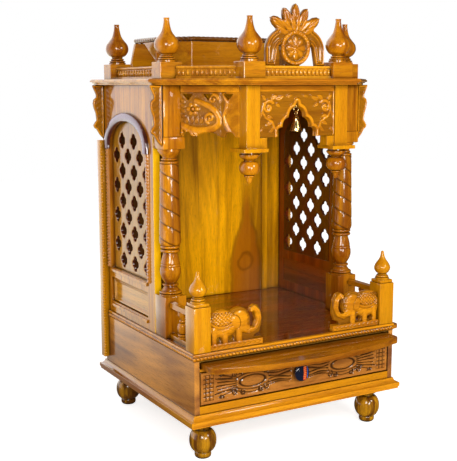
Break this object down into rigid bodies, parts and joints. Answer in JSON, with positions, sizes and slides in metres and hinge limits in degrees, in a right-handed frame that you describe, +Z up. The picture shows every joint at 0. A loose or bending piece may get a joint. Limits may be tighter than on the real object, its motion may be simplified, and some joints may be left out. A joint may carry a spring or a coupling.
{
  "type": "pooja mandir",
  "caption": "Wooden home temple cabinet with a drawer, two pull-out trays, latticed side walls, turned columns and a carved canopy with finials.",
  "frame": {"origin": "on the floor, at the centre of the bounding box as stored, with both trays part-way out", "axes": "+X to the right as seen from the front, +Y to the back, +Z up"},
  "size_m": [0.606, 0.607, 1.01],
  "materials": {
    "varnished_wood": "glossy honey varnish",
    "carved_wood": "glossy varnish over carving",
    "dark_wood": "glossy red-brown varnish",
    "inner_wood": "plain",
    "glazed_ceramic": "glazed",
    "brass": "polished"
  },
  "bodies": {
    "cabinet": {"feet": "varnished_wood", "moulding_front": "varnished_wood", "moulding_back": "varnished_wood", "moulding_left": "varnished_wood", "moulding_right": "varnished_wood", "base_bottom": "inner_wood", "base_side_left": "varnished_wood", "base_side_right": "varnished_wood", "base_back": "inner_wood", "front_rail": "varnished_wood", "divider": "varnished_wood", "shelf": "inner_wood", "deck": "dark_wood", "rope_band_front": "carved_wood", "rope_band_left": "carved_wood", "drawer_runners": "inner_wood", "tray_runners": "inner_wood", "corner_post_left": "varnished_wood", "corner_post_right": "varnished_wood", "bracket_left": "carved_wood", "bracket_right": "carved_wood", "railings": "varnished_wood", "balusters": "varnished_wood", "column_left": "varnished_wood", "column_right": "varnished_wood", "shaft_left": "varnished_wood", "shaft_right": "varnished_wood", "wall_frame_left": "varnished_wood", "wall_frame_right": "varnished_wood", "lattice_left": "varnished_wood", "lattice_right": "varnished_wood", "arch_mouldings": "varnished_wood", "wall_panels": "varnished_wood", "rear_posts": "varnished_wood", "back_wall": "varnished_wood", "eave_brackets": "varnished_wood", "canted_panel_left": "carved_wood", "canted_panel_right": "carved_wood", "arch_panel": "carved_wood", "bay_post_left": "varnished_wood", "bay_post_right": "varnished_wood", "pendants": "varnished_wood", "cornice": "varnished_wood", "gallery_rails": "varnished_wood", "gallery_blocks": "varnished_wood", "roof_finials": "varnished_wood", "crown_box": "varnished_wood", "crown_rim": "varnished_wood", "crest": "carved_wood", "bell_hook": "brass"},
    "drawer": {"drawer_front": "carved_wood", "drawer_sides": "inner_wood", "drawer_back": "inner_wood", "drawer_floor": "inner_wood", "knob": "glazed_ceramic"},
    "front_tray": {"front_tray": "varnished_wood"},
    "side_tray": {"side_tray": "varnished_wood"},
    "bell": {"bell": "brass"}
  },
  "joints": [
    {"name": "drawer_slide", "type": "slide", "parent": "cabinet", "child": "drawer", "axis": [0, -1, 0], "range_m": [0, 0.28]},
    {"name": "front_tray_slide", "type": "slide", "parent": "cabinet", "child": "front_tray", "axis": [0, -1, 0], "range_m": [-0.042, 0.2]},
    {"name": "side_tray_slide", "type": "slide", "parent": "cabinet", "child": "side_tray", "axis": [1, 0, 0], "range_m": [-0.026, 0.24]},
    {"name": "bell_swing", "type": "hinge", "parent": "cabinet", "child": "bell", "pos_m": [0, -0.1875, 0.771], "axis": [1, 0, 0], "range_deg": [-30, 30]}
  ]
}
